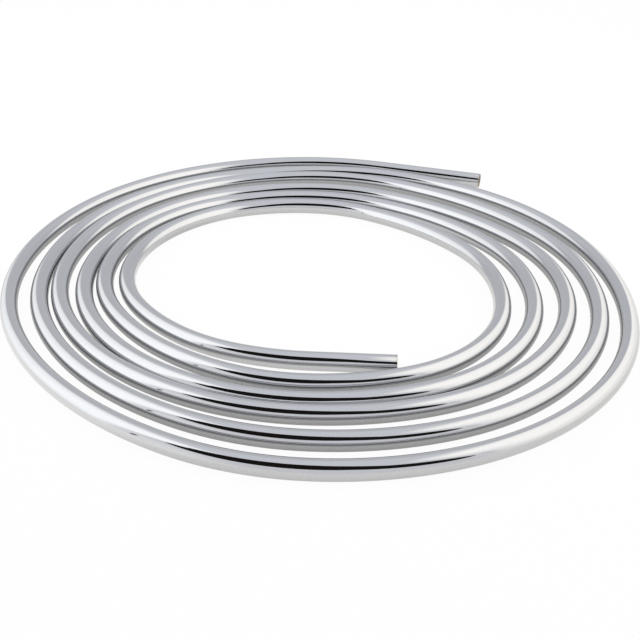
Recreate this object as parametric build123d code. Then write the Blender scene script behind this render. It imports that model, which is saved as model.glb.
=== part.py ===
"""A coil of plated copper tube: one drawn length, wound flat and loose, with both ends cut square.

The coil lies on the floor at z = 0, with its box centred on the z axis. Seen from the front, +X is to the
right and +Y to the back. The tube runs clockwise, seen from above, from its inner end, which is tucked in
against the next turn at the front, to its outer end at the back right. Lengths are in millimetres.
"""

import os
from math import cos, floor, pi, sin, sqrt

from build123d import *

# The tube
TUBE_OD = 10.0
TUBE_WALL = 1.0

# The coil: the mean clear width of its eye, and the straight run at its outer end
EYE_DIAMETER = 200.0
OUTER_END_RUN = 75.0

# The coil's eight sides in winding order: front, front left, left, back left, back, back right, right and
# front right. The first turn is a little oval, longer from the back left to the front right: its radius on
# each side, as a share of the first turn's mean radius.
FIRST_TURN_SHARES = (0.91, 0.94, 1.045, 1.06, 0.97, 0.895, 1.0, 1.14)

# The gaps from each turn to the next one out, on the same sides, as shares of the tube's diameter
GAP_SHARES = (
    (1.05, 0.50, 0.08, 0.95, 1.05),
    (0.55, 0.58, 0.08, 0.40, 0.65),
    (0.30, 0.10, 0.45, 0.10, 0.70),
    (0.50, 0.10, 0.90, 0.15, 0.75),
    (0.40, 0.50, 1.30, 0.10, 0.85),
    (0.70, 0.60, 1.10, 0.90),
    (0.85, 0.95, 0.70, 0.50),
    (0.60, 0.40, 0.90, 0.80),
)

# The inner end starts this share of a side before the front, and this gap, as a share of the tube's
# diameter, inside the next turn. The last bend ends as far past the back, outside the turn before.
INNER_TIP_SHARE = 0.52
INNER_TIP_GAP_SHARE = 0.05
OUTER_BEND_SHARE = 0.35
OUTER_BEND_GAP_SHARE = 0.5

SIDES = len(FIRST_TURN_SHARES)
LAST_STATION = SIDES + sum(len(gaps) for gaps in GAP_SHARES) - 1
FRONT = -pi / 2


def station_radius(place):
    """Radius of the centre line at a place on the winding, counted in sides from the front of the eye."""
    station = floor(place)
    if place > station:
        share = place - station
        return (1 - share) * station_radius(station) + share * station_radius(station + 1)
    turn, side = divmod(station, SIDES)
    first = (EYE_DIAMETER + TUBE_OD) / 2 * FIRST_TURN_SHARES[side]
    return first + TUBE_OD * (turn + sum(GAP_SHARES[side][:turn]))


def at(place, radius):
    """The point at a place on the winding, at the given radius from the middle of the eye."""
    angle = FRONT - 2 * pi * place / SIDES
    return Vector(radius * cos(angle), radius * sin(angle))


def heading(before, here, after):
    """Unit direction at a point of the circle through that point and both its neighbours."""
    back, on = here - before, after - here
    return (back / back.dot(back) + on / on.dot(on)).normalized()


def biarc(start, leave, end, arrive):
    """Two tangent arcs from start to end that leave and arrive along the given unit directions."""
    chord = end - start
    along = chord.dot(leave + arrive)
    turn = 2 * (1 - leave.dot(arrive))
    reach = (sqrt(along**2 + turn * chord.dot(chord)) - along) / turn
    knee, next_knee = start + leave * reach, end - arrive * reach
    middle = (knee + next_knee) / 2
    return [
        TangentArc(start, middle, tangent=leave),
        TangentArc(middle, end, tangent=next_knee - knee),
    ]


def centre_line():
    """The edges of the tube's axis, from the inner end outwards: straight ends and tangent arcs."""
    points = [at(place, station_radius(place)) for place in range(LAST_STATION + 1)]
    inner_tip = at(
        -INNER_TIP_SHARE,
        station_radius(SIDES - INNER_TIP_SHARE) - TUBE_OD * (1 + INNER_TIP_GAP_SHARE),
    )
    bend_end = at(
        LAST_STATION + OUTER_BEND_SHARE,
        station_radius(LAST_STATION + OUTER_BEND_SHARE - SIDES) + TUBE_OD * (1 + OUTER_BEND_GAP_SHARE),
    )
    ways = [(points[0] - inner_tip).normalized()]
    ways += [heading(*three) for three in zip(points, points[1:], [*points[2:], bend_end])]

    edges = [Line(inner_tip, points[0])]
    for i in range(LAST_STATION):
        edges += biarc(points[i], ways[i], points[i + 1], ways[i + 1])
    edges.append(TangentArc(points[-1], bend_end, tangent=ways[-1]))
    edges.append(Line(bend_end, bend_end + edges[-1] % 1 * OUTER_END_RUN))
    return edges


def section_plane(edge, along):
    """The plane across an edge of the centre line, at a share of its length."""
    return Plane(edge @ along, x_dir=(0, 0, 1), z_dir=edge % along)


def round_wall(edge, radius):
    """The round face of the given radius along one edge of the centre line."""
    ring = Edge.make_circle(radius, section_plane(edge, 0))
    if edge.geom_type == GeomType.LINE:
        return Face.extrude(ring, edge @ 1 - edge @ 0)
    spoke = edge @ 0 - edge.arc_center
    turned = (edge % 0).get_angle(edge % 1)
    return Face.revolve(ring, turned, Axis(edge.arc_center, spoke.cross(edge % 0)))


def copper_tube():
    """The tube: an outer wall and a bore along the whole centre line, closed by a ring at each end."""
    edges = centre_line()
    outer, inner = TUBE_OD / 2, TUBE_OD / 2 - TUBE_WALL
    walls = [round_wall(edge, radius) for radius in (outer, inner) for edge in edges]
    ring = Circle(outer) - Circle(inner)
    ends = [(section_plane(edges[0], 0) * ring).face(), (section_plane(edges[-1], 1) * ring).face()]
    tube = Solid(Shell(walls + ends))

    length = sum(edge.length for edge in edges)
    expected = pi * (outer**2 - inner**2) * length
    print(f"length {length:.1f} mm, volume {tube.volume:.0f} mm3, section times length {expected:.0f} mm3")

    box = tube.bounding_box()
    return Pos(-box.center().X, -box.center().Y, -box.min.Z) * tube


os.makedirs("parts", exist_ok=True)
export_step(copper_tube(), "parts/copper_tube.step")
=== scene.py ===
"""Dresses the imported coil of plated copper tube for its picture.

The tube is modelled along the same centre line as the solid, fine enough for a mirror finish: chrome
outside, a faint copper tint on the cut rims and bare copper in the bore. It lies on a white floor in a small
studio, whose light panels, ceiling and dark camera opening the chrome mirrors. Lengths are in metres, in the
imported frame: +X is to the right, +Y to the back and +Z up.
"""

from __future__ import annotations

import logging
from dataclasses import dataclass, field
from enum import Enum
from math import atan2, ceil, cos, floor, hypot, pi, radians, sin, sqrt

import bmesh
import bpy
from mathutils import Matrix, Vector
from mathutils.kdtree import KDTree

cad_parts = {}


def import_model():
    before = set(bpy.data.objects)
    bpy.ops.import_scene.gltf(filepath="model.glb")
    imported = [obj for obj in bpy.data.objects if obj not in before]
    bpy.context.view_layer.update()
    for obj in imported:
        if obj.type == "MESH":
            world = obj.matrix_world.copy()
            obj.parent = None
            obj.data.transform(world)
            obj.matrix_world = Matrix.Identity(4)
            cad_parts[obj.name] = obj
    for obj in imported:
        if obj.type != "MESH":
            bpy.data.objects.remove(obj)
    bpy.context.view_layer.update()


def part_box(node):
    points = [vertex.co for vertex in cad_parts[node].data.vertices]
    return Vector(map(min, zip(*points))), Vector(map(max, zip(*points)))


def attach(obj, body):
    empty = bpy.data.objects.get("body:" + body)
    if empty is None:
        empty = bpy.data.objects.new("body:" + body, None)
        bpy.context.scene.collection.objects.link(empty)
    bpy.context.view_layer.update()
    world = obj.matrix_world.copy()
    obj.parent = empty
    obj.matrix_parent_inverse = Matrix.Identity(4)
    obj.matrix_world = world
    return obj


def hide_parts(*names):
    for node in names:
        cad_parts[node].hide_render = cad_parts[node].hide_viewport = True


LOG = logging.getLogger("tube_coil")
TUBE_NODE = "copper_tube"
ONLY_BODY = "root"
UP = Vector((0.0, 0.0, 1.0))
FRONT = -pi / 2
UV_MIDDLE = 0.5

Colour = tuple[float, float, float, float]
Span = tuple[float, float]

OPENING_DARK: Colour = (0.013, 0.0115, 0.011, 1.0)


class Skin(Enum):
    """The tube's two finishes, numbered as its material slots."""

    PLATED = 0
    BARE = 1


@dataclass(frozen=True)
class Run:
    """One stretch of the centre line: a straight, or an arc about a centre.

    Attributes:
        start: Where the stretch begins.
        end: Where it ends.
        centre: The arc's centre, or None for a straight.
        turn: The arc's angle, in radians, anticlockwise from above.
    """

    start: Vector
    end: Vector
    centre: Vector | None = None
    turn: float = 0.0

    @property
    def length(self) -> float:
        """Length along the stretch.

        Returns:
            The length.
        """
        if self.centre is None:
            return (self.end - self.start).length
        return abs(self.turn) * (self.start - self.centre).length

    def steps(self, pitch: float) -> int:
        """Number of rings that the stretch adds, no further apart than the pitch on an arc."""
        return 1 if self.centre is None else max(1, ceil(self.length / pitch))

    def place(self, share: float) -> tuple[Vector, Vector]:
        """A point on the stretch and the direction of the tube there.

        Args:
            share: How far along the stretch, from 0 to 1.

        Returns:
            The point and the unit direction.
        """
        if self.centre is None:
            way = self.end - self.start
            return self.start + way * share, way.normalized()
        angle = self.turn * share
        spoke = self.start - self.centre
        turned = Vector((
            spoke.x * cos(angle) - spoke.y * sin(angle),
            spoke.x * sin(angle) + spoke.y * cos(angle),
            spoke.z,
        ))
        ahead = UP.cross(turned) if self.turn > 0 else turned.cross(UP)
        return self.centre + turned, ahead.normalized()


@dataclass(frozen=True)
class Winding:
    """The coil's centre line, from the solid's own driving sizes.

    The coil has eight sides, in winding order: front, front left, left, back left, back, back right, right
    and front right. Shares are of the first turn's mean radius, of the tube's diameter for a gap, and of a
    side for the two ends.
    """

    tube_od: float = 0.010
    tube_wall: float = 0.001
    eye_diameter: float = 0.200
    outer_end_run: float = 0.075
    first_turn_shares: tuple[float, ...] = (0.91, 0.94, 1.045, 1.06, 0.97, 0.895, 1.0, 1.14)
    gap_shares: tuple[tuple[float, ...], ...] = (
        (1.05, 0.50, 0.08, 0.95, 1.05),
        (0.55, 0.58, 0.08, 0.40, 0.65),
        (0.30, 0.10, 0.45, 0.10, 0.70),
        (0.50, 0.10, 0.90, 0.15, 0.75),
        (0.40, 0.50, 1.30, 0.10, 0.85),
        (0.70, 0.60, 1.10, 0.90),
        (0.85, 0.95, 0.70, 0.50),
        (0.60, 0.40, 0.90, 0.80),
    )
    inner_tip_share: float = 0.52
    inner_tip_gap_share: float = 0.05
    outer_bend_share: float = 0.35
    outer_bend_gap_share: float = 0.5

    @property
    def outer_radius(self) -> float:
        """Radius of the tube's outer wall."""
        return self.tube_od / 2

    @property
    def bore_radius(self) -> float:
        """Radius of the tube's bore."""
        return self.tube_od / 2 - self.tube_wall

    @property
    def sides(self) -> int:
        """Number of sides that a turn is given by."""
        return len(self.first_turn_shares)

    @property
    def last_station(self) -> int:
        """Number of the last station that lies on a turn."""
        return self.sides + sum(len(gaps) for gaps in self.gap_shares) - 1

    def station_radius(self, place: float) -> float:
        """Radius of the centre line.

        Args:
            place: Where on the winding, counted in sides from the front of the eye.

        Returns:
            The distance from the middle of the eye.
        """
        station = floor(place)
        if place > station:
            share = place - station
            here, ahead = self.station_radius(station), self.station_radius(station + 1)
            return (1 - share) * here + share * ahead
        turn, side = divmod(station, self.sides)
        first = (self.eye_diameter + self.tube_od) / 2 * self.first_turn_shares[side]
        return first + self.tube_od * (turn + sum(self.gap_shares[side][:turn]))

    def at(self, place: float, radius: float) -> Vector:
        """The point at a place on the winding, at a radius from the middle of the eye."""
        angle = FRONT - 2 * pi * place / self.sides
        return Vector((radius * cos(angle), radius * sin(angle), self.outer_radius))

    @staticmethod
    def heading(before: Vector, here: Vector, after: Vector) -> Vector:
        """Unit direction, at the middle one of three points, of the circle through them."""
        back, on = here - before, after - here
        return (back / back.dot(back) + on / on.dot(on)).normalized()

    @staticmethod
    def arc(start: Vector, leave: Vector, end: Vector) -> Run:
        """The arc that leaves a point along a direction and passes through another point.

        Args:
            start: The arc's first point.
            leave: Unit direction at the first point.
            end: The arc's last point.

        Returns:
            The arc.
        """
        chord = end - start
        left = UP.cross(leave)
        centre = start + left * (chord.dot(chord) / (2 * chord.dot(left)))
        return Run(start, end, centre, 2 * atan2(chord.dot(left), chord.dot(leave)))

    def biarc(self, start: Vector, leave: Vector, end: Vector, arrive: Vector) -> list[Run]:
        """Two tangent arcs between two points.

        Args:
            start: The first point.
            leave: Unit direction at the first point.
            end: The last point.
            arrive: Unit direction at the last point.

        Returns:
            The two arcs.
        """
        chord = end - start
        along = chord.dot(leave + arrive)
        turn = 2 * (1 - leave.dot(arrive))
        reach = (sqrt(along**2 + turn * chord.dot(chord)) - along) / turn
        knee, next_knee = start + leave * reach, end - arrive * reach
        middle = (knee + next_knee) / 2
        return [
            self.arc(start, leave, middle),
            self.arc(middle, (next_knee - knee).normalized(), end),
        ]

    def runs(self) -> list[Run]:
        """The stretches of the centre line, about the middle of the eye.

        Returns:
            The stretches, from the inner end outwards.
        """
        points = [self.at(place, self.station_radius(place)) for place in range(self.last_station + 1)]
        tip_place, bend_place = self.sides - self.inner_tip_share, self.last_station + self.outer_bend_share
        inside = self.tube_od * (1 + self.inner_tip_gap_share)
        outside = self.tube_od * (1 + self.outer_bend_gap_share)
        inner_tip = self.at(tip_place, self.station_radius(tip_place) - inside)
        bend_end = self.at(bend_place, self.station_radius(bend_place - self.sides) + outside)
        ways = [(points[0] - inner_tip).normalized()]
        ways += [self.heading(*three) for three in zip(points, points[1:], [*points[2:], bend_end])]

        runs = [Run(inner_tip, points[0])]
        for leave, arrive, start, end in zip(ways, ways[1:], points, points[1:]):
            runs += self.biarc(start, leave, end, arrive)
        runs.append(self.arc(points[-1], ways[-1], bend_end))
        runs.append(Run(bend_end, bend_end + runs[-1].place(1)[1] * self.outer_end_run))
        return runs


@dataclass(frozen=True)
class Ring:
    """One ring of the modelled tube: its middle, the tube's direction and the length up to it."""

    centre: Vector
    ahead: Vector
    along: float


class NodeSheet:
    """A node tree, with short calls to add and join its nodes."""

    def __init__(self, tree: bpy.types.NodeTree) -> None:
        """Takes over a tree and empties it."""
        self.tree = tree
        tree.nodes.clear()

    def add(self, kind: str, settings: dict[str, object] | None = None, **inputs: object) -> bpy.types.Node:
        """Adds a node.

        Args:
            kind: The node's type, without the Shader prefix where it has that.
            settings: Properties of the node itself.
            inputs: Socket values or sockets to join, by socket name with _ for a space, or in_0 by number.

        Returns:
            The node.
        """
        node = self.tree.nodes.new(kind)
        for name, value in (settings or {}).items():
            setattr(node, name, value)
        for name, value in inputs.items():
            key = int(name[3:]) if name.startswith("in_") else name.replace("_", " ")
            self.feed(node.inputs[key], value)
        return node

    def feed(self, socket: bpy.types.NodeSocket, value: object) -> None:
        """Joins a socket to another one, or gives it a value.

        Args:
            socket: The socket to feed.
            value: The other socket, or the value.
        """
        if isinstance(value, bpy.types.NodeSocket):
            self.tree.links.new(value, socket)
        else:
            socket.default_value = value

    def math(self, operation: str, first: object, second: object = 0.0) -> bpy.types.NodeSocket:
        """The result of a sum on one or two numbers."""
        return self.add("ShaderNodeMath", {"operation": operation}, in_0=first, in_1=second).outputs[0]

    def blend(self, share: object, first: object, second: object) -> bpy.types.NodeSocket:
        """A mix of two colours."""
        node = self.add("ShaderNodeMix", {"data_type": "RGBA"}, in_0=share, in_6=first, in_7=second)
        return node.outputs[2]

    def ramp(self, value: object, low: float, high: float, start: object, end: object,
             smooth: bool = False) -> bpy.types.NodeSocket:
        """A number carried from one range to another.

        Args:
            value: The number.
            low: Where the first range starts.
            high: Where the first range ends.
            start: The result at low.
            end: The result at high.
            smooth: Whether the result eases in and out.

        Returns:
            The result's socket.
        """
        settings = {"interpolation_type": "SMOOTHSTEP" if smooth else "LINEAR"}
        node = self.add("ShaderNodeMapRange", settings, in_0=value, in_1=low, in_2=high, in_3=start, in_4=end)
        return node.outputs[0]

    def metal(self, colour: bpy.types.NodeSocket, rough: bpy.types.NodeSocket, height: bpy.types.NodeSocket,
              strength: float, depth: float) -> None:
        """Ends a material in bare metal with a fine relief.

        Args:
            colour: The metal's colour.
            rough: Its roughness.
            height: Its relief, from 0 to 1.
            strength: How much of the relief shows, from 0 to 1.
            depth: The relief's depth.
        """
        relief = self.add("ShaderNodeBump", Strength=strength, Distance=depth, Height=height)
        shader = self.add("ShaderNodeBsdfPrincipled", Base_Color=colour, Metallic=1.0, Roughness=rough,
                          Normal=relief.outputs[0])
        self.add("ShaderNodeOutputMaterial", Surface=shader.outputs[0])

    def fading_light(self, shown: bpy.types.NodeSocket, colour: Colour, strength: object = 1.0) -> None:
        """Ends a material in a light that fades to nothing.

        Args:
            shown: How much of the light shows, from 0 to 1.
            colour: The light's colour.
            strength: The light's strength, where 1 is white.
        """
        light = self.add("ShaderNodeEmission", Color=colour, Strength=strength)
        clear = self.add("ShaderNodeBsdfTransparent")
        mixed = self.add("ShaderNodeMixShader", in_0=shown, in_1=clear.outputs[0], in_2=light.outputs[0])
        self.add("ShaderNodeOutputMaterial", Surface=mixed.outputs[0])


def new_material(name: str) -> tuple[bpy.types.Material, NodeSheet]:
    """Makes a material with an empty node tree.

    Args:
        name: The material's name.

    Returns:
        The material and its nodes.
    """
    material = bpy.data.materials.new(name)
    material.use_nodes = True
    return material, NodeSheet(material.node_tree)


class DrawnTubeEffect:
    """A node group for drawn tube: its draw lines, its cloudiness and the worn strip beside a cut."""

    NAME = "drawn_tube"
    PLACE = "straight_place"
    SIZES = ("Line Scale", "Cloud Scale", "Tube Length", "Worn Width")
    MASKS = ("Lines", "Clouds", "Worn")
    LINE_STRETCH = (1.0, 1.0, 0.012)
    LINE_NOISE = {"Detail": 3.0, "Roughness": 0.6}
    CLOUD_NOISE = {"Detail": 4.0, "Roughness": 0.55}
    EDGE_CLOUDS = (0.3, 0.7)
    EDGE_SHARES = (0.2, 1.0)
    WORN_FADE = (0.6, 1.0)

    def __init__(self) -> None:
        """Builds the group once."""
        tree = bpy.data.node_groups.new(self.NAME, "ShaderNodeTree")
        for name in self.SIZES:
            tree.interface.new_socket(name, in_out="INPUT", socket_type="NodeSocketFloat")
        for name in self.MASKS:
            tree.interface.new_socket(name, in_out="OUTPUT", socket_type="NodeSocketFloat")
        self.tree = tree
        self._fill(NodeSheet(tree))

    def _fill(self, sheet: NodeSheet) -> None:
        """Lays out the group's nodes.

        Args:
            sheet: The group's empty node tree.
        """
        given = sheet.add("NodeGroupInput").outputs
        place = sheet.add("ShaderNodeAttribute", {"attribute_name": self.PLACE}).outputs["Vector"]
        stretched = sheet.add("ShaderNodeVectorMath", {"operation": "MULTIPLY"}, in_0=place,
                              in_1=self.LINE_STRETCH).outputs[0]
        lines = sheet.add("ShaderNodeTexNoise", Vector=stretched, Scale=given["Line Scale"],
                          **self.LINE_NOISE).outputs[0]
        clouds = sheet.add("ShaderNodeTexNoise", Vector=place, Scale=given["Cloud Scale"],
                           **self.CLOUD_NOISE).outputs[0]
        along = sheet.add("ShaderNodeSeparateXYZ", Vector=place).outputs["Z"]
        to_end = sheet.math("MINIMUM", along, sheet.math("SUBTRACT", given["Tube Length"], along))
        ragged = sheet.ramp(clouds, *self.EDGE_CLOUDS, *self.EDGE_SHARES)
        edge = sheet.math("MULTIPLY", given["Worn Width"], ragged)
        worn = sheet.ramp(sheet.math("DIVIDE", to_end, edge), *self.WORN_FADE, 1.0, 0.0, smooth=True)
        sheet.add("NodeGroupOutput", Lines=lines, Clouds=clouds, Worn=worn)

    def place_in(self, sheet: NodeSheet, line_scale: float, cloud_scale: float, tube_length: float,
                 worn_width: float) -> bpy.types.bpy_prop_collection:
        """Puts the group in a material.

        Args:
            sheet: The material's nodes.
            line_scale: Draw lines to a metre, about.
            cloud_scale: Clouds to a metre, about.
            tube_length: Length of the tube.
            worn_width: Width of the worn strip at a cut.

        Returns:
            The group's output sockets.
        """
        node = sheet.add("ShaderNodeGroup", {"node_tree": self.tree})
        for name, value in zip(self.SIZES, (line_scale, cloud_scale, tube_length, worn_width)):
            node.inputs[name].default_value = value
        return node.outputs


@dataclass(frozen=True)
class Chrome:
    """Bright chrome plate, with faint draw lines and the copper showing through beside a cut.

    Attributes:
        colour: The clear plate.
        cloudy: The plate in its cloudy patches.
        bared: The plate where it is worn thin beside a cut.
        smoothest: Roughness between the draw lines.
        roughest: Roughness in the draw lines.
        line_scale: Draw lines to a metre, about.
        cloud_scale: Clouds to a metre, about.
        line_depth: Depth of the draw lines.
        line_strength: How much of that depth shows.
        worn_width: Width of the worn strip beside a cut.
        cloud_range: The two levels of the clouds between which the plate turns cloudy.
        line_range: The two levels of the lines between which the plate turns rough.
    """

    colour: Colour = (0.546, 0.551, 0.563, 1.0)
    cloudy: Colour = (0.527, 0.53, 0.54, 1.0)
    bared: Colour = (0.51, 0.484, 0.462, 1.0)
    smoothest: float = 0.02
    roughest: float = 0.05
    line_scale: float = 2600.0
    cloud_scale: float = 900.0
    line_depth: float = 0.000002
    line_strength: float = 0.12
    worn_width: float = 0.0024
    cloud_range: Span = (0.4, 0.75)
    line_range: Span = (0.35, 0.75)

    def dress(self, effect: DrawnTubeEffect, tube_length: float) -> bpy.types.Material:
        """Makes the material.

        Args:
            effect: The drawn tube's node group.
            tube_length: Length of the tube.

        Returns:
            The material.
        """
        material, sheet = new_material("bright_chrome")
        found = effect.place_in(sheet, self.line_scale, self.cloud_scale, tube_length, self.worn_width)
        clouded = sheet.ramp(found["Clouds"], *self.cloud_range, 0.0, 1.0)
        plate = sheet.blend(clouded, self.colour, self.cloudy)
        colour = sheet.blend(found["Worn"], plate, self.bared)
        rough = sheet.ramp(found["Lines"], *self.line_range, self.smoothest, self.roughest)
        sheet.metal(colour, rough, found["Lines"], self.line_strength, self.line_depth)
        return material


@dataclass(frozen=True)
class BareCopper:
    """Bare copper along the bore, and the pale smear of plating and copper on the cut rims.

    Attributes:
        fresh: The smear on the rims and just inside the bore.
        dulled: The copper further in.
        smoothest: Roughness outside the clouds.
        roughest: Roughness in the clouds.
        line_scale: Draw lines to a metre, about.
        cloud_scale: Clouds to a metre, about.
        line_depth: Depth of the draw lines.
        line_strength: How much of that depth shows.
        fresh_width: How far the smear reaches into the bore.
        cloud_range: The two levels of the clouds between which the copper turns rough.
    """

    fresh: Colour = (0.38, 0.34, 0.315, 1.0)
    dulled: Colour = (0.46, 0.22, 0.14, 1.0)
    smoothest: float = 0.30
    roughest: float = 0.50
    line_scale: float = 3500.0
    cloud_scale: float = 700.0
    line_depth: float = 0.00003
    line_strength: float = 0.5
    fresh_width: float = 0.0045
    cloud_range: Span = (0.3, 0.7)

    def dress(self, effect: DrawnTubeEffect, tube_length: float) -> bpy.types.Material:
        """Makes the material.

        Args:
            effect: The drawn tube's node group.
            tube_length: Length of the tube.

        Returns:
            The material.
        """
        material, sheet = new_material("bare_copper")
        found = effect.place_in(sheet, self.line_scale, self.cloud_scale, tube_length, self.fresh_width)
        colour = sheet.blend(found["Worn"], self.dulled, self.fresh)
        rough = sheet.ramp(found["Clouds"], *self.cloud_range, self.smoothest, self.roughest)
        sheet.metal(colour, rough, found["Lines"], self.line_strength, self.line_depth)
        return material


@dataclass
class WoundTube:
    """The wound tube: a section of two circles carried along the centre line, with a rim at each cut end.

    Attributes:
        winding: The centre line and the tube's sizes.
        chrome: The finish of the outer wall.
        copper: The finish of the rims and the bore.
        section_sides: Sides of each circle.
        ring_pitch: The most that two rings lie apart on an arc.
        rim_break: Width of the broken edges at the cut ends.
        rim_break_steps: Steps in a broken edge.
        plane_share: How far off a ring's plane a point may lie, as a share of the rim break.
        plated_share: How far under the outer wall a face is still plated, as a share of the rim break.
        merge_reach: How close two points have to be to become one.
        smooth_angle: Edges flatter than this are smooth.
        fit_steps: Steps along a stretch at which the coil's reach is measured.
    """

    winding: Winding = field(default_factory=Winding)
    chrome: Chrome = field(default_factory=Chrome)
    copper: BareCopper = field(default_factory=BareCopper)
    section_sides: int = 48
    ring_pitch: float = 0.006
    rim_break: float = 0.00012
    rim_break_steps: int = 2
    plane_share: float = 0.25
    plated_share: float = 0.125
    merge_reach: float = 0.000006
    smooth_angle: float = radians(40)
    fit_steps: int = 16

    def build(self) -> bpy.types.Object:
        """Models the tube and dresses it.

        Returns:
            The tube's object, at the origin.
        """
        runs = self._in_frame(self.winding.runs())
        rings = self._rings(runs)
        tube = self._section(runs[0])
        for run in runs:
            self._carry(run)
        for ring in (rings[0], rings[-1]):
            self._close(tube, ring)
        self._finish_mesh()
        self._mark_places(tube, rings)
        self._dress(tube, rings[-1].along)
        return tube

    def _in_frame(self, runs: list[Run]) -> list[Run]:
        """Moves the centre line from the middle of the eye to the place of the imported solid.

        Args:
            runs: The stretches about the middle of the eye.

        Returns:
            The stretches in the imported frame.
        """
        steps = range(self.fit_steps + 1)
        places = [run.place(step / self.fit_steps)[0] for run in runs for step in steps]
        low, high = (Vector(corner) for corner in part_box(TUBE_NODE))
        middle = Vector((
            (min(p.x for p in places) + max(p.x for p in places)) / 2,
            (min(p.y for p in places) + max(p.y for p in places)) / 2,
            0.0,
        ))
        shift = Vector(((low.x + high.x) / 2, (low.y + high.y) / 2, low.z)) - middle
        return [
            Run(run.start + shift, run.end + shift, run.centre and run.centre + shift, run.turn)
            for run in runs
        ]

    def _rings(self, runs: list[Run]) -> list[Ring]:
        """The middles of all rings that the modelled tube has.

        Args:
            runs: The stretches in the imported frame.

        Returns:
            The rings, from the inner end outwards.
        """
        start, ahead = runs[0].place(0)
        rings, along = [Ring(start, ahead, 0.0)], 0.0
        for run in runs:
            steps = run.steps(self.ring_pitch)
            for step in range(1, steps + 1):
                rings.append(Ring(*run.place(step / steps), along + run.length * step / steps))
            along += run.length
        return rings

    def _section(self, first: Run) -> bpy.types.Object:
        """Adds the tube's section at the inner end, ready to be carried along, in edit mode.

        Args:
            first: The first stretch of the centre line.

        Returns:
            The new object.
        """
        _, ahead = first.place(0)
        stance = {
            "vertices": self.section_sides,
            "location": first.start,
            "rotation": (pi / 2, 0.0, atan2(ahead.y, ahead.x) + pi / 2),
        }
        bpy.ops.object.select_all(action="DESELECT")
        bpy.ops.mesh.primitive_circle_add(radius=self.winding.outer_radius, **stance)
        tube = bpy.context.object
        tube.name = tube.data.name = "wound_tube"
        bpy.ops.object.transform_apply(location=True, rotation=True, scale=True)
        bpy.ops.object.mode_set(mode="EDIT")
        bpy.ops.mesh.primitive_circle_add(radius=self.winding.bore_radius, **stance)
        bpy.ops.mesh.select_mode(type="EDGE")
        bpy.ops.mesh.select_all(action="SELECT")
        return tube

    def _carry(self, run: Run) -> None:
        """Carries the selected section along a stretch: extruded on a straight, spun on an arc.

        Args:
            run: The stretch.
        """
        if run.centre is None:
            bpy.ops.mesh.extrude_edges_move(TRANSFORM_OT_translate={"value": run.end - run.start})
            return
        bpy.ops.mesh.spin(steps=run.steps(self.ring_pitch), angle=-run.turn, center=run.centre, axis=UP)

    def _close(self, tube: bpy.types.Object, ring: Ring) -> None:
        """Closes a cut end with a rim, drawn in from the outer wall to the bore, and breaks its two edges.

        Args:
            tube: The tube, in edit mode.
            ring: The ring at that end.
        """
        drawn_in = self.winding.bore_radius / self.winding.outer_radius
        self._select_rim(tube, ring, (self.winding.outer_radius + self.winding.bore_radius) / 2)
        bpy.ops.mesh.extrude_edges_move(TRANSFORM_OT_translate={"value": (0.0, 0.0, 0.0)})
        bpy.ops.transform.resize(value=(drawn_in, drawn_in, drawn_in), center_override=ring.centre)
        self._merge()
        self._select_rim(tube, ring)
        bpy.ops.mesh.bevel(offset=self.rim_break, segments=self.rim_break_steps, affect="EDGES")

    def _select_rim(self, tube: bpy.types.Object, ring: Ring, inside: float = 0.0) -> None:
        """Selects only the round edges at a cut end.

        Args:
            tube: The tube, in edit mode.
            ring: The ring at that end.
            inside: Edges nearer to the ring's middle than this are left out.
        """
        bpy.ops.mesh.select_all(action="DESELECT")
        shape = bmesh.from_edit_mesh(tube.data)
        reach = self.winding.outer_radius + self.rim_break
        near = {v for v in shape.verts if self._on_ring(v.co, ring, reach)}
        for edge in shape.edges:
            first, second = edge.verts
            if first in near and second in near:
                level = (first.co - ring.centre).length - (second.co - ring.centre).length
                edge.select = abs(level) < self.rim_break and (first.co - ring.centre).length > inside
        bmesh.update_edit_mesh(tube.data)

    def _on_ring(self, point: Vector, ring: Ring, reach: float) -> bool:
        """Whether a point lies in a ring's plane, within reach of its middle."""
        out = point - ring.centre
        return out.length < reach and abs(out.dot(ring.ahead)) < self.rim_break * self.plane_share

    def _merge(self) -> None:
        """Merges doubles and turns all faces outwards."""
        bpy.ops.mesh.select_all(action="SELECT")
        bpy.ops.mesh.remove_doubles(threshold=self.merge_reach)
        bpy.ops.mesh.normals_make_consistent(inside=False)

    def _finish_mesh(self) -> None:
        """Merges what the rims have doubled, leaves edit mode and smooths the walls."""
        self._merge()
        bpy.ops.object.mode_set(mode="OBJECT")
        bpy.ops.object.shade_smooth_by_angle(angle=self.smooth_angle)

    def _mark_places(self, tube: bpy.types.Object, rings: list[Ring]) -> None:
        """Stores on every point where it lay on the straight tube, for patterns that follow the tube.

        Args:
            tube: The modelled tube.
            rings: The middles of its rings.
        """
        tree = KDTree(len(rings))
        for number, ring in enumerate(rings):
            tree.insert(ring.centre, number)
        tree.balance()
        places = tube.data.attributes.new(DrawnTubeEffect.PLACE, "FLOAT_VECTOR", "POINT").data
        for vertex in tube.data.vertices:
            ring = rings[tree.find(vertex.co)[1]]
            out = vertex.co - ring.centre
            across = out.dot(UP.cross(ring.ahead))
            places[vertex.index].vector = (across, out.z, ring.along + out.dot(ring.ahead))

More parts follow.
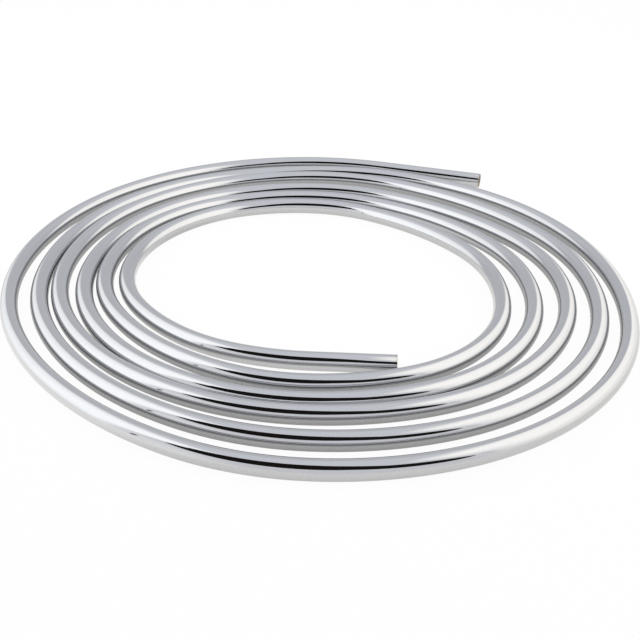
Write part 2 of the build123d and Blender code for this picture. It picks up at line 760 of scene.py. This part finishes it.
    def _dress(self, tube: bpy.types.Object, length: float) -> None:
        """Gives the outer wall its chrome, and the rims and the bore their copper.

        Args:
            tube: The modelled tube.
            length: Length of the tube.
        """
        effect = DrawnTubeEffect()
        finishes = {Skin.PLATED: self.chrome, Skin.BARE: self.copper}
        for skin in Skin:
            tube.data.materials.append(finishes[skin].dress(effect, length))
        places = tube.data.attributes[DrawnTubeEffect.PLACE].data
        plated_from = self.winding.outer_radius - self.rim_break * self.plated_share
        for face in tube.data.polygons:
            reaches = [hypot(places[i].vector.x, places[i].vector.y) for i in face.vertices]
            skin = Skin.PLATED if sum(reaches) / len(reaches) > plated_from else Skin.BARE
            face.material_index = skin.value


@dataclass(frozen=True)
class Card:
    """A soft-edged dark or grey card that the chrome mirrors: a part of the camera's opening, or a stand.

    Attributes:
        name: The card's name.
        azimuth: Where it stands, in degrees from the camera's side, to the right.
        elevation: Its height, in degrees above the floor, seen from the coil.
        distance: How far it stands from the coil.
        width: Its full width.
        height: Its full height.
        colour: Its colour, where 1 is white.
        core_share: The share of its size, from the middle, that isn't faded.
        roll: How far it is turned in its own plane, in degrees.
    """

    name: str
    azimuth: float
    elevation: float
    distance: float
    width: float
    height: float
    colour: Colour
    core_share: float
    roll: float = 0.0

    def build(self) -> bpy.types.Object:
        """Adds the card, facing the coil and seen only in reflections.

        Returns:
            The card's object.
        """
        az, el = radians(self.azimuth), radians(self.elevation)
        aim = Vector((sin(az) * cos(el), -cos(az) * cos(el), sin(el)))
        bpy.ops.object.select_all(action="DESELECT")
        bpy.ops.mesh.primitive_plane_add(size=1.0, location=aim * self.distance)
        card = bpy.context.object
        card.name = card.data.name = self.name
        card.rotation_euler = aim.to_track_quat("Z", "Y").to_matrix().to_euler()
        card.rotation_euler.rotate_axis("Z", radians(self.roll))
        card.scale = (self.width, self.height, 1.0)
        card.visible_camera = card.visible_shadow = False
        card.data.materials.append(self._light())
        return card

    def _light(self) -> bpy.types.Material:
        """Makes the card's material: an even tone that fades to nothing at an oval edge.

        Returns:
            The material.
        """
        material, sheet = new_material(self.name)
        across = sheet.add("ShaderNodeTexCoord").outputs["UV"]
        from_middle = sheet.add("ShaderNodeVectorMath", {"operation": "DISTANCE"}, in_0=across,
                                in_1=(UV_MIDDLE, UV_MIDDLE, 0.0)).outputs["Value"]
        shown = sheet.ramp(from_middle, UV_MIDDLE * self.core_share, UV_MIDDLE, 1.0, 0.0, smooth=True)
        sheet.fading_light(shown, self.colour)
        return material


@dataclass(frozen=True)
class LightPanel:
    """An upright light panel beside the coil, with soft edges.

    Attributes:
        name: The panel's name.
        x: Where it stands, to the right of the coil's middle.
        front: The two places, from the front, between which it fades in.
        back: The two places, from the front, between which it fades out.
        top: The two heights between which it fades out.
        low_share: How bright it is down at the floor, as a share of its full brightness.
        full_height: The height from which it is fully bright.
        colour: Its light: 1 is white.
        back_share: How bright it is towards its back edge, as a share of its full brightness.
    """

    name: str
    x: float
    front: Span
    back: Span
    top: Span
    low_share: float
    full_height: float
    colour: Colour
    back_share: float

    def build(self) -> bpy.types.Object:
        """Adds the panel, seen only in reflections.

        Returns:
            The panel's object.
        """
        depth, height = self.back[1] - self.front[0], self.top[1]
        middle = (self.x, (self.front[0] + self.back[1]) / 2, height / 2)
        bpy.ops.object.select_all(action="DESELECT")
        bpy.ops.mesh.primitive_plane_add(size=1.0, location=middle, rotation=(0.0, pi / 2, 0.0))
        panel = bpy.context.object
        panel.name = panel.data.name = self.name
        panel.scale = (height, depth, 1.0)
        panel.visible_camera = panel.visible_shadow = False
        panel.data.materials.append(self._light())
        return panel

    def _light(self) -> bpy.types.Material:
        """Makes the panel's material: a light that fades to nothing at its edges and is dimmer at the floor.

        Returns:
            The material.
        """
        material, sheet = new_material(self.name)
        position = sheet.add("ShaderNodeNewGeometry").outputs["Position"]
        place = sheet.add("ShaderNodeSeparateXYZ", Vector=position).outputs
        shown = sheet.math("MULTIPLY", sheet.ramp(place["Y"], *self.front, 0.0, 1.0, smooth=True),
                           sheet.ramp(place["Y"], *self.back, 1.0, 0.0, smooth=True))
        shown = sheet.math("MULTIPLY", shown, sheet.ramp(place["Z"], *self.top, 1.0, 0.0, smooth=True))
        level = sheet.math("MULTIPLY",
                           sheet.ramp(place["Z"], 0.0, self.full_height, self.low_share, 1.0, smooth=True),
                           sheet.ramp(place["Y"], 0.0, self.back[0], 1.0, self.back_share))
        sheet.fading_light(shown, self.colour, level)
        return material


@dataclass(frozen=True)
class Studio:
    """The white floor, the studio's walls and ceiling as the world, the light panels and the dark cards.

    Attributes:
        floor_size: Length and width of the floor.
        floor_drop: How far the floor lies under the coil.
        floor_colour: The floor's own white.
        floor_lift_seen: How far the camera sees the floor lifted to plain white.
        mirrored_share: The share of the mirrored floor that has a set level; the rest is lit.
        mirrored_level: The level that the chrome mirrors on the open floor, where 1 is white.
        painted_light_front_left: The level at the front left, higher: painted light on the floor near the
            left panel.
        painted_shade_back_left: The level at the back left, lower: painted shade on the floor.
        painted_shade_between_turns: The level between the turns, lower: painted shade for the floor in the
            turns' shadow.
        left_from: The two places across between which the left side's painted light and shade fade out.
        left_back: The two places in depth between which the painted light at the front left runs into the
            painted shade at the back left.
        coil_oval: The coil's reach along and across its longer way.
        oval_bearing: The direction of its longer way.
        turns_from: Where the turns begin, as shares of the coil's reach; the painted shade between the turns
            fades in here.
        turns_to: Where the turns end, as shares of the coil's reach; the painted shade between the turns
            fades out here.
        ceiling: The ceiling's light.
        back_wall: The back wall's light.
        front_wall: The front wall's light.
        front_left_wall: The light of the front wall's left part.
        front_left_fade: The two directions across between which the front wall's left part fades out.
        wall_fade: The two directions in depth between which the front wall runs into the back wall.
        ceiling_fade: The two directions up between which the walls run into the ceiling.
        white: What the camera sees behind the floor.
        panels: The light panels.
        cards: The parts of the camera's dark opening, and a stand.
    """

    floor_size: float = 6.0
    floor_drop: float = 0.0001
    floor_colour: Colour = (0.905, 0.896, 0.876, 1.0)
    floor_lift_seen: float = 0.96
    mirrored_share: float = 0.65
    mirrored_level: float = 1.24
    # Painted light: the floor at the front left mirrors brighter.
    painted_light_front_left: float = 1.6
    # Painted shade: the floor at the back left mirrors darker.
    painted_shade_back_left: float = 0.62
    # Painted shade: the floor between the turns mirrors darker.
    painted_shade_between_turns: float = 0.66
    left_from: Span = (-0.12, -0.05)
    left_back: Span = (0.0, 0.09)
    coil_oval: tuple[float, float, float] = (0.188, 0.173, 1.0)
    oval_bearing: float = radians(120)
    turns_from: Span = (0.57, 0.65)
    turns_to: Span = (0.965, 1.03)
    ceiling: Colour = (0.945, 0.962, 1.02, 1.0)
    back_wall: Colour = (0.742, 0.757, 0.80, 1.0)
    front_wall: Colour = (0.935, 0.945, 0.985, 1.0)
    front_left_wall: Colour = (1.22, 1.22, 1.225, 1.0)
    front_left_fade: Span = (-0.9, -0.4)
    wall_fade: Span = (-0.6, 0.6)
    ceiling_fade: Span = (0.45, 0.82)
    white: Colour = (1.0, 1.0, 1.0, 1.0)
    panels: tuple[LightPanel, ...] = (
        LightPanel(
            name="left_panel",
            x=-0.5,
            front=(-0.30, -0.20),
            back=(0.43, 0.68),
            top=(0.75, 1.45),
            low_share=0.86,
            full_height=0.15,
            colour=(1.702, 1.725, 1.735, 1.0),
            back_share=0.80,
        ),
        LightPanel(
            name="right_panel",
            x=0.4,
            front=(-0.55, -0.20),
            back=(0.40, 0.68),
            top=(0.70, 1.80),
            low_share=0.77,
            full_height=0.22,
            colour=(1.692, 1.665, 1.602, 1.0),
            back_share=0.92,
        ),
    )
    cards: tuple[Card, ...] = (
        Card(
            name="opening_left",
            azimuth=-20.0,
            elevation=51.0,
            distance=0.86,
            width=1.02,
            height=0.62,
            colour=OPENING_DARK,
            core_share=0.94,
            roll=-8.0,
        ),
        Card(
            name="opening_right",
            azimuth=15.0,
            elevation=42.0,
            distance=0.86,
            width=0.92,
            height=0.38,
            colour=OPENING_DARK,
            core_share=0.94,
            roll=-30.0,
        ),
        Card(
            name="opening_end",
            azimuth=45.0,
            elevation=24.0,
            distance=0.75,
            width=0.085,
            height=0.36,
            colour=(0.62, 0.63, 0.66, 1.0),
            core_share=0.30,
        ),
        Card(
            name="dark_stand",
            azimuth=-58.5,
            elevation=14.0,
            distance=0.73,
            width=0.026,
            height=0.17,
            colour=(0.04, 0.04, 0.045, 1.0),
            core_share=0.55,
        ),
    )

    def build(self) -> None:
        """Builds the floor, the world, the light panels and the dark cards."""
        self._floor()
        self._world()
        for piece in (*self.panels, *self.cards):
            piece.build()

    def _floor(self) -> None:
        """Adds the floor, just under the coil."""
        bpy.ops.object.select_all(action="DESELECT")
        bpy.ops.mesh.primitive_plane_add(size=self.floor_size, location=(0.0, 0.0, -self.floor_drop))
        floor_object = bpy.context.object
        floor_object.name = floor_object.data.name = "floor"
        floor_object.data.materials.append(self._floor_finish())

    def _floor_finish(self) -> bpy.types.Material:
        """Makes the floor's material, white as the camera and the chrome see it, with the coil's soft shadow,
        and painted light and shade in what the chrome mirrors.

        Returns:
            The material.
        """
        material, sheet = new_material("white_floor")
        rays = sheet.add("ShaderNodeLightPath").outputs
        mirrored = sheet.math("MAXIMUM", rays["Is Glossy Ray"], rays["Is Transmission Ray"])
        level = self._mirrored_floor(sheet)
        # The chrome mirrors the floor partly as this glow, with painted light and shade from place to place.
        glowing = sheet.add("ShaderNodeEmission", Color=self.floor_colour, Strength=level)
        lit = sheet.add("ShaderNodeBsdfDiffuse", Color=self.floor_colour)
        ground = sheet.add("ShaderNodeMixShader", in_0=sheet.math("MULTIPLY", mirrored, self.mirrored_share),
                           in_1=lit.outputs[0], in_2=glowing.outputs[0])
        lift = sheet.math("MULTIPLY", rays["Is Camera Ray"], self.floor_lift_seen)
        bright = sheet.add("ShaderNodeEmission", Color=self.white, Strength=1.0)
        mixed = sheet.add("ShaderNodeMixShader", in_0=lift, in_1=ground.outputs[0], in_2=bright.outputs[0])
        sheet.add("ShaderNodeOutputMaterial", Surface=mixed.outputs[0])
        return material

    def _mirrored_floor(self, sheet: NodeSheet) -> bpy.types.NodeSocket:
        """Lays out the floor's level as the chrome mirrors it, from place to place: painted light at the
        front left, painted shade at the back left and between the turns.

        Args:
            sheet: The floor's nodes.

        Returns:
            The level's socket.
        """
        place = sheet.add("ShaderNodeNewGeometry").outputs["Position"]
        spot = sheet.add("ShaderNodeSeparateXYZ", Vector=place).outputs
        oval = sheet.add("ShaderNodeMapping", {"vector_type": "TEXTURE"}, Vector=place,
                         Rotation=(0.0, 0.0, self.oval_bearing), Scale=self.coil_oval).outputs[0]
        reach = sheet.add("ShaderNodeVectorMath", {"operation": "LENGTH"}, in_0=oval).outputs["Value"]
        # Painted light on the mirrored floor at the front left, running into painted shade at the back left.
        left = sheet.ramp(spot["Y"], *self.left_back, self.painted_light_front_left, self.painted_shade_back_left, smooth=True)
        clear = sheet.ramp(spot["X"], *self.left_from, left, self.mirrored_level, smooth=True)
        # Painted shade on the mirrored floor between the turns, over an oval the size of the coil.
        between = sheet.math("MULTIPLY", sheet.ramp(reach, *self.turns_from, 0.0, 1.0, smooth=True),
                             sheet.ramp(reach, *self.turns_to, 1.0, 0.0, smooth=True))
        return sheet.ramp(between, 0.0, 1.0, clear, self.painted_shade_between_turns)

    def _world(self) -> None:
        """Makes the world: walls that run into a ceiling, and plain white behind the floor."""
        world = bpy.data.worlds.new("studio")
        bpy.context.scene.world = world
        world.use_nodes = True
        sheet = NodeSheet(world.node_tree)
        around = sheet.add("ShaderNodeTexCoord").outputs["Generated"]
        way = sheet.add("ShaderNodeSeparateXYZ", Vector=around).outputs
        on_left = sheet.ramp(way["X"], *self.front_left_fade, 1.0, 0.0, smooth=True)
        front = sheet.blend(on_left, self.front_wall, self.front_left_wall)
        behind = sheet.ramp(way["Y"], *self.wall_fade, 0.0, 1.0, smooth=True)
        wall = sheet.blend(behind, front, self.back_wall)
        above = sheet.ramp(way["Z"], *self.ceiling_fade, 0.0, 1.0, smooth=True)
        room = sheet.blend(above, wall, self.ceiling)
        seen = sheet.add("ShaderNodeLightPath").outputs["Is Camera Ray"]
        light = sheet.add("ShaderNodeBackground", Color=sheet.blend(seen, room, self.white), Strength=1.0)
        sheet.add("ShaderNodeOutputWorld", Surface=light.outputs[0])


@dataclass(frozen=True)
class Viewpoint:
    """The camera, level and looking down at the coil from the front."""

    target: tuple[float, float, float] = (0.00433, -0.05468, 0.005)
    pitch: float = radians(29.97)
    distance: float = 0.51717
    lens: float = 53.6
    sensor: float = 36.0
    clip_start: float = 0.01

    def build(self) -> bpy.types.Object:
        """Adds the camera and makes it the scene's own.

        Returns:
            The camera's object.
        """
        back = Vector((0.0, -cos(self.pitch), sin(self.pitch)))
        place = Vector(self.target) + back * self.distance
        bpy.ops.object.camera_add(location=place, rotation=(pi / 2 - self.pitch, 0.0, 0.0))
        camera = bpy.context.object
        camera.name = "camera"
        camera.data.lens = self.lens
        camera.data.sensor_width = self.sensor
        camera.data.clip_start = self.clip_start
        bpy.context.scene.camera = camera
        return camera


def main() -> None:
    """Loads the frame, builds the camera, the tube and the studio, and logs the tube's number of faces."""
    logging.basicConfig(level=logging.INFO, format="%(name)s: %(message)s")
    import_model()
    bpy.context.scene.view_settings.view_transform = "Standard"
    Viewpoint().build()
    LOG.info("camera set")

    tube = WoundTube().build()
    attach(tube, ONLY_BODY)
    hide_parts(TUBE_NODE)
    LOG.info("wound tube: %d faces", len(tube.data.polygons))

    Studio().build()
    LOG.info("studio set")


if __name__ == "__main__":
    main()
